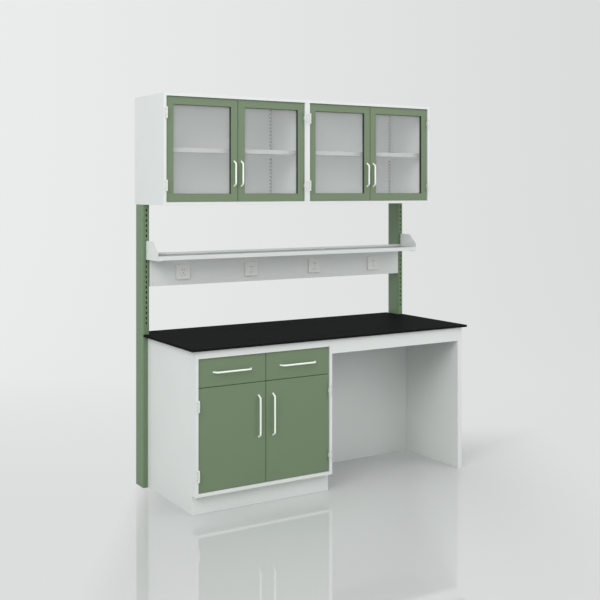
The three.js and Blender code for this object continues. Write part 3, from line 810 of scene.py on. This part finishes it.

# %% [markdown]
# ## A slotted strip
#
# The shelves of the wall cabinets hang on clips in slotted strips. A strip is a flat bar with a row
# of slots. One rectangle and a row of small ones are filled together as curves, which leaves the
# slots open, and the flat shape is given its thickness. Drawing them as real openings lets the
# painted shade behind them show from every side, and it is lighter than a Boolean for each slot.

# %% A tree for a slotted strip
strip_tree, strip_in, strip_out = new_tree(
    "slotted strip", {"Width": "Float", "Pitch": "Float", "Count": "Int", "Slot width": "Float",
                      "Slot height": "Float", "Thickness": "Float", "Material": "Material"})


def flat_bar(tree, width, length):
    bar = add(tree, "GeometryNodeCurvePrimitiveQuadrilateral", {"Width": width, "Height": length})
    return bar.outputs["Curve"]


def thicken(tree, curves, thickness):
    flat = add(tree, "GeometryNodeFillCurve", {"Curve": curves})
    raised = add(tree, "GeometryNodeExtrudeMesh",
                 {"Mesh": flat.outputs["Mesh"], "Offset Scale": thickness, "Individual": False})
    under = add(tree, "GeometryNodeFlipFaces", {"Mesh": flat.outputs["Mesh"]})
    both = join(tree, raised.outputs["Mesh"], under.outputs["Mesh"])
    merged = add(tree, "GeometryNodeMergeByDistance", {"Geometry": both, "Distance": SAME_PLACE})
    return merged.outputs["Geometry"]


strip_length = calculate(strip_tree, "MULTIPLY", strip_in["Count"], strip_in["Pitch"])
first_slot = calculate(strip_tree, "SUBTRACT", strip_in["Pitch"], strip_length)
row_start = add(strip_tree, "ShaderNodeCombineXYZ", {"Y": times(strip_tree, first_slot, 0.5)})
row_step = add(strip_tree, "ShaderNodeCombineXYZ", {"Y": strip_in["Pitch"]})
row = add(strip_tree, "GeometryNodeMeshLine",
          {"Count": strip_in["Count"], "Start Location": row_start.outputs["Vector"],
           "Offset": row_step.outputs["Vector"]}, mode="OFFSET")
slot_outline = flat_bar(strip_tree, strip_in["Slot width"], strip_in["Slot height"])
slot_row = add(strip_tree, "GeometryNodeInstanceOnPoints",
               {"Points": row.outputs["Mesh"], "Instance": slot_outline})
slot_curves = add(strip_tree, "GeometryNodeRealizeInstances", {"Geometry": slot_row.outputs["Instances"]})
bar_outline = flat_bar(strip_tree, strip_in["Width"], strip_length)
strip_outlines = join(strip_tree, bar_outline, slot_curves.outputs["Geometry"])
strip = thicken(strip_tree, strip_outlines, strip_in["Thickness"])
set_strips = add(strip_tree, "GeometryNodeInstanceOnPoints",
                 {"Points": strip_in["Geometry"], "Instance": strip, "Rotation": facing(strip_tree)})
finish_tree(strip_tree, strip_out, set_strips.outputs["Instances"], strip_in["Material"])
print(f"strip tree with {len(strip_tree.nodes)} nodes")

# %% [markdown]
# ## Strips in the corners
#
# Each wall cabinet has strips on its side walls near the front and on its back wall near the
# corners, below and above the shelf. Behind every strip lies a thin dark plate of painted shade,
# which shows through the slots as the shade in the strip's hollow. On the back wall it runs on to
# the corner as a painted shadow, because the strip stands a little away from the wall and leaves
# a shadow there.

# %% Strips and their hollows
STRIP_PITCH = 21
STRIP_SLOTS = 12
STRIP_SIZES = {"Width": 13 * MM, "Pitch": STRIP_PITCH * MM, "Count": STRIP_SLOTS, "Slot width": 9 * MM,
               "Slot height": 11 * MM, "Thickness": 1.6 * MM, "Material": finishes["white_steel"]}
STRIP_LEVELS = (1721.0, 2017.0)
STRIP_FRONT = 50.0
STRIP_FROM_CORNER = 10.0
STRIP_OFF_WALL = 0.4
HOLLOW_OFF_WALL, HOLLOW_FACE = 0.1, 0.35
HOLLOW_HALF_WIDTH = 5
HOLLOW_HALF_LENGTH = STRIP_SLOTS * STRIP_PITCH / 2
WALL_REAR = 363.0
# inner face of each side wall and the way into the cabinet
WALL_SIDES = {"left": ((-884.0, 1), (-16.15, -1)), "right": ((16.15, 1), (884.0, -1))}

for cabinet, side_walls in WALL_SIDES.items():
    seats = []
    shape = bmesh.new()
    for wall_x, inward in side_walls:
        rear_x = wall_x + inward * STRIP_FROM_CORNER
        side_hollow = sorted((wall_x + inward * HOLLOW_OFF_WALL, wall_x + inward * HOLLOW_FACE))
        rear_hollow = sorted((wall_x + inward * HOLLOW_OFF_WALL, rear_x + inward * HOLLOW_HALF_WIDTH))
        plates = (rectangle(*side_hollow, STRIP_FRONT - HOLLOW_HALF_WIDTH, STRIP_FRONT + HOLLOW_HALF_WIDTH),
                  rectangle(*rear_hollow, WALL_REAR - HOLLOW_FACE, WALL_REAR - HOLLOW_OFF_WALL))
        for level in STRIP_LEVELS:
            seats.append(((wall_x + inward * STRIP_OFF_WALL, STRIP_FRONT, level), (inward, 0, 0)))
            seats.append(((rear_x, WALL_REAR - STRIP_OFF_WALL, level), TO_FRONT))
            for plate_outline in plates:
                add_prism(shape, plate_outline, None, ALONG_Z,
                          level - HOLLOW_HALF_LENGTH, level + HOLLOW_HALF_LENGTH)
    strip_seats = points_mesh("strip places", seats)
    strips = grow(strip_tree, f"wall_cabinet_{cabinet}_strips", strip_seats, STRIP_SIZES)
    belongs(strips, "bench", "white_steel")
    # a thin dark plate behind each strip: painted shade in its hollow and a painted shadow in the corner
    painted_shade_plates = show(f"wall_cabinet_{cabinet}_strip_painted_shade", closed_mesh("strip painted shade", shape))
    painted_shade_plates.data.materials.append(painted_shade_dark)
    belongs(painted_shade_plates, "bench", "white_steel")
print(f"{len(seats)} strips with {len(strips.data.polygons)} faces in each cabinet")

# %% [markdown]
# ## Outlines of a socket
#
# A socket is a moulded plate with rounded corners, a shallow field in the middle and five narrow
# contact slots: two upright ones above, one in the middle and two leaning ones below. The rounded
# square is walked quarter by quarter, and a leaning slot is a rectangle turned about its middle.

# %% Helpers for socket outlines
CORNER_STEPS = 6


def rounded(size, radius):
    half = size / 2 - radius
    points = []
    for quarter, (x, z) in enumerate(((1, 1), (-1, 1), (-1, -1), (1, -1))):
        for step in range(CORNER_STEPS + 1):
            turn = (quarter + step / CORNER_STEPS) * math.pi / 2
            points.append((x * half + radius * math.cos(turn), z * half + radius * math.sin(turn)))
    return points


def leaning(width, height, x, z, lean):
    turn = math.radians(lean)
    corners = rectangle(-width / 2, width / 2, -height / 2, height / 2)
    return [(x + u * math.cos(turn) - v * math.sin(turn), z + u * math.sin(turn) + v * math.cos(turn))
            for u, v in corners]


print(f"a rounded square has {len(rounded(1, 0.1))} points")

# %% [markdown]
# ## Cutting the socket plate
#
# The plate is a rounded bar whose front edge is bevelled in five steps, as a mould would round it.
# Two Boolean modifiers then cut it: one sinks the field and the other the contact slots. They hand
# the cutter's material to the new faces, so the slots get painted shade inside and the field
# stays white.

# %% One socket plate
SOCKET_SIZE = 86.0
SOCKET_FACE = 242.7
SOCKET_REAR = 251.7
SOCKET_CORNER = 5
SOCKET_ROUNDING = 3 * MM
ROUNDING_STEPS = 5
FIELD_SIZE, FIELD_CORNER, FIELD_DEPTH = 64, 4, 0.9
# how far a cutter stands out of the plate, and what it leaves of the plate
CUTTER_PROUD = 1
SOCKET_FLOOR = 1
CONTACT_WIDTH, CONTACT_HEIGHT = 2.2, 8
# middle of a contact slot on the plate, and its lean in degrees
CONTACTS = ((-6.4, 14, 0), (6.4, 14, 0), (0, -5, 0), (-9, -19, 30), (9, -19, -30))


def on_face(edge):
    return all(abs(corner.co.y - SOCKET_FACE * MM) < SAME_CORNER for corner in edge.verts)


def cutter(name, outlines, depth_end, material):
    shape = bmesh.new()
    for outline in outlines:
        add_prism(shape, outline, None, ALONG_Y, SOCKET_FACE - CUTTER_PROUD, depth_end)
    holder = show(name, closed_mesh(name, shape))
    holder.data.materials.append(material)
    return holder


shape = bmesh.new()
add_prism(shape, rounded(SOCKET_SIZE, SOCKET_CORNER), None, ALONG_Y, SOCKET_FACE, SOCKET_REAR)
bmesh.ops.recalc_face_normals(shape, faces=shape.faces)
front_edges = [edge for edge in shape.edges if on_face(edge)]
bmesh.ops.bevel(shape, geom=front_edges, offset=SOCKET_ROUNDING, segments=ROUNDING_STEPS, profile=0.5,
                affect="EDGES")
plate = show("socket plate", closed_mesh("socket plate", shape))
plate.data.materials.append(finishes["white_plastic"])
field = cutter("socket field", [rounded(FIELD_SIZE, FIELD_CORNER)], SOCKET_FACE + FIELD_DEPTH,
               finishes["white_plastic"])
contact_outlines = [leaning(CONTACT_WIDTH, CONTACT_HEIGHT, *contact) for contact in CONTACTS]
# the slots' cutter carries the painted shade
slots = cutter("socket slots", contact_outlines, SOCKET_REAR - SOCKET_FLOOR, painted_shade_dark)
for tool in (field, slots):
    cut_out = plate.modifiers.new("cut", "BOOLEAN")
    cut_out.object = tool
    cut_out.operation = "DIFFERENCE"
    cut_out.solver = "EXACT"
    cut_out.material_mode = "TRANSFER"
plate_mesh = plain_mesh(plate)
for spare in (plate, field, slots):
    bpy.data.objects.remove(spare)
print(f"socket plate with {len(plate_mesh.polygons)} faces")

# %% [markdown]
# ## Four sockets
#
# Behind the plate a box holds the contacts inside the trunking. The plate and its box are joined in
# one mesh, and a copy of it is moved to each place. Moving the mesh instead of the object keeps
# every piece at the origin, which is where the frame expects it.

# %% Place the sockets
BOX_HALF = 31
BOX_DEPTH = 32
SOCKET_CREASE = math.radians(30)
SOCKET_LEVEL = 1187.5
SOCKET_PLACES = (-659.7, -219.9, 219.9, 659.7)

shape = bmesh.new()
box_outline = rectangle(-BOX_HALF, BOX_HALF, -BOX_HALF, BOX_HALF)
add_prism(shape, box_outline, None, ALONG_Y, SOCKET_REAR, SOCKET_REAR + BOX_DEPTH)
shape.from_mesh(plate_mesh)
socket_mesh = bpy.data.meshes.new("socket")
shape.to_mesh(socket_mesh)
shape.free()
socket_mesh.materials.append(finishes["white_plastic"])
socket_mesh.materials.append(painted_shade_dark)
socket_mesh.shade_smooth()
socket_mesh.set_sharp_from_angle(angle=SOCKET_CREASE)
for number, x in enumerate(SOCKET_PLACES, 1):
    placed = socket_mesh.copy()
    placed.transform(Matrix.Translation(Vector((x, 0, SOCKET_LEVEL)) * MM))
    socket = show(f"socket_{number}_plate", placed)
    belongs(socket, "bench", "white_plastic", f"socket_{number}")
print(f"made {len(SOCKET_PLACES)} sockets with {len(socket_mesh.polygons)} faces each")

# %% [markdown]
# ## The floor
#
# A pale floor runs back and curves up into a wall, as in a photo studio, so that no horizon shows.
# It is a profile of points drawn out sideways, and it is turned to face the camera. It belongs to
# the stage and not to the bench, so it rides on nothing.

# %% Floor sweep
FLOOR_HALF = 14.0
SWEEP_START = 4.5
SWEEP_RADIUS = 3.0
SWEEP_STEPS = 24
WALL_HEIGHT = 9.0

profile = [(-FLOOR_HALF, 0.0), (SWEEP_START, 0.0)]
for step in range(1, SWEEP_STEPS + 1):
    turn = step / SWEEP_STEPS * math.pi / 2
    profile.append((SWEEP_START + SWEEP_RADIUS * math.sin(turn), SWEEP_RADIUS * (1 - math.cos(turn))))
profile.append((SWEEP_START + SWEEP_RADIUS, WALL_HEIGHT))
sweep_corners = [(edge_x, y, z) for edge_x in (-FLOOR_HALF, FLOOR_HALF) for y, z in profile]
count = len(profile)
sweep_faces = [(i, i + count, i + count + 1, i + 1) for i in range(count - 1)]
sweep_mesh = bpy.data.meshes.new("studio_sweep")
sweep_mesh.from_pydata(sweep_corners, [], sweep_faces)
sweep_mesh.transform(Matrix.Rotation(-CAMERA_TURN, 4, "Z"))
sweep_mesh.shade_smooth()
sweep = show("studio_sweep", sweep_mesh)
print(f"floor sweep with {len(sweep_faces)} strips")

# %% [markdown]
# ## Measuring places on the floor
#
# The floor's paint changes across the view and along it. Both are directions on the floor, and a
# dot product of a direction and a place tells how far the place lies that way. A Map Range node
# then turns a span of that distance into a factor from 0 to 1.

# %% Helpers for the floor's paint
floor_paint, floor_tree, floor_shader, floor_place = start_material("pale polished floor")


def floor_direction(x, y):
    return add(floor_tree, "ShaderNodeVectorMath",
               {0: floor_place.outputs["Object"], 1: (x, y, 0.0)}, operation="DOT_PRODUCT").outputs["Value"]


def floor_span(value, start, end, shape="LINEAR"):
    return add(floor_tree, "ShaderNodeMapRange", {"Value": value, "From Min": start, "From Max": end},
               interpolation_type=shape).outputs["Result"]


def floor_mix(factor, first, second):
    return add(floor_tree, "ShaderNodeMix", {MIX_FACTOR: factor, MIX_FIRST: first, MIX_SECOND: second},
               data_type="RGBA").outputs[MIX_RESULT]


def seen_rays(tree):
    """1 for rays that the camera, a mirror or glass sends out, 0 for rays that carry light."""
    rays = add(tree, "ShaderNodeLightPath").outputs
    direct = calculate(tree, "MAXIMUM", rays["Is Camera Ray"], rays["Is Glossy Ray"])
    return calculate(tree, "MAXIMUM", direct, rays["Is Transmission Ray"])


across = floor_direction(math.cos(CAMERA_TURN), -math.sin(CAMERA_TURN))
along = floor_direction(math.sin(CAMERA_TURN), math.cos(CAMERA_TURN))
print(f"the view crosses the floor at {math.degrees(CAMERA_TURN):.1f} degrees")

# %% [markdown]
# ## Polish near the bench
#
# Near the bench the floor is a real polished surface that takes its shadow and mirrors its foot.
# Its colour is darker on the left and lighter on the right: painted shade and painted light that
# make up for the key lamp on the left. Farther out it fades into a pale glow, which only the
# camera, mirrors and glass see, so that it adds no light to the bench. The glow is painted light,
# lighter on the left towards the key lamp and darker on the right. The polish has four ends, two
# across the view and two along it, and the one that has faded most counts.

# %% Floor paint
FLOOR_ROUGHNESS = 0.04
FLOOR_IOR = 1.7
# spans on the floor in metres, each with the place where it begins and the place where it ends
# painted shade on the left of the floor and painted light on the right
PAINTED_SHADE_AND_LIGHT_ACROSS = (-0.6, 0.7)
# painted light: the glow is lighter on the left, towards the key lamp
GLOW_PAINTED_LIGHT_ACROSS = (-3.5, 3.5)
NEAR_GLOW_ALONG = (3.0, -0.5)
POLISH_ENDS_ACROSS = ((-0.74, -0.98), (0.85, 1.75))
POLISH_ENDS_ALONG = ((0.3, 1.3), (-2.2, -3.5))

# the floor's colour carries painted shade on the left and painted light on the right
floor_painted_shade_and_light = floor_mix(floor_span(across, *PAINTED_SHADE_AND_LIGHT_ACROSS), linear(197, 199, 198), linear(206, 208, 207))
floor_tree.links.new(floor_painted_shade_and_light, floor_shader.inputs["Base Color"])
floor_shader.inputs["Roughness"].default_value = FLOOR_ROUGHNESS
floor_shader.inputs["IOR"].default_value = FLOOR_IOR

# the glow's painted light, lighter on the left than on the right
wall_glow_painted_light = floor_mix(floor_span(across, *GLOW_PAINTED_LIGHT_ACROSS), linear(234, 236, 235), linear(218, 221, 220))
glow_colour = floor_mix(floor_span(along, *NEAR_GLOW_ALONG), wall_glow_painted_light, linear(220, 222, 221))
glow = add(floor_tree, "ShaderNodeEmission", {"Color": glow_colour})
polish_ends = [floor_span(across, *ends, "SMOOTHSTEP") for ends in POLISH_ENDS_ACROSS]
polish_ends += [floor_span(along, *ends, "SMOOTHSTEP") for ends in POLISH_ENDS_ALONG]
far_off = polish_ends[0]
for polish_end in polish_ends[1:]:
    far_off = calculate(floor_tree, "MAXIMUM", far_off, polish_end)
fade = times(floor_tree, seen_rays(floor_tree), far_off)
blend = add(floor_tree, "ShaderNodeMixShader",
            {0: fade, 1: floor_shader.outputs[0], 2: glow.outputs[0]})
floor_tree.links.new(blend.outputs[0], floor_tree.nodes["Material Output"].inputs["Surface"])
sweep_mesh.materials.append(floor_paint)
print(f"floor paint with {len(floor_tree.nodes)} nodes")

# %% [markdown]
# ## Light
#
# Bright and almost without shadows: a pale sky all round and three large soft lamps. The key hangs
# high on the left, one overhead puts the knee space in shade, and a weak one fills in from the
# right. The lamps are hidden from mirrors, so that no square shows in the panes or on the floor.

# %% World and lamps
SKY_STRENGTH = 0.86
BACKDROP_STRENGTH = 1.0

world = bpy.data.worlds.new("studio")
bpy.context.scene.world = world
world.use_nodes = True
sky_tree = world.node_tree
sky = sky_tree.nodes["Background"]
sky.inputs["Color"].default_value = linear(236, 238, 238)
sky.inputs["Strength"].default_value = SKY_STRENGTH
backdrop = add(sky_tree, "ShaderNodeBackground",
               {"Color": linear(226, 228, 227), "Strength": BACKDROP_STRENGTH})
sky_mix = add(sky_tree, "ShaderNodeMixShader",
              {0: seen_rays(sky_tree), 1: sky.outputs[0], 2: backdrop.outputs[0]})
sky_tree.links.new(sky_mix.outputs[0], sky_tree.nodes["World Output"].inputs["Surface"])


def soft_lamp(name, place, target, size, watts):
    data = bpy.data.lights.new(name, "AREA")
    data.shape = "SQUARE"
    data.size = size
    data.energy = watts
    lamp = bpy.data.objects.new(name, data)
    lamp.location = place
    lamp.rotation_euler = (Vector(target) - Vector(place)).to_track_quat("-Z", "Y").to_euler()
    lamp.visible_glossy = False
    bpy.context.scene.collection.objects.link(lamp)


soft_lamp("key lamp", place=(-5.0, -3.4, 4.2), target=(0.0, 0.0, 1.0), size=3.0, watts=150)
soft_lamp("overhead lamp", place=(0.0, -1.2, 5.6), target=(0.0, -0.2, 0.0), size=4.0, watts=50)
soft_lamp("fill lamp", place=(3.5, -5.0, 3.0), target=(0.0, 0.0, 1.0), size=3.0, watts=60)
print(f"a world and {len(bpy.data.lights)} lamps")
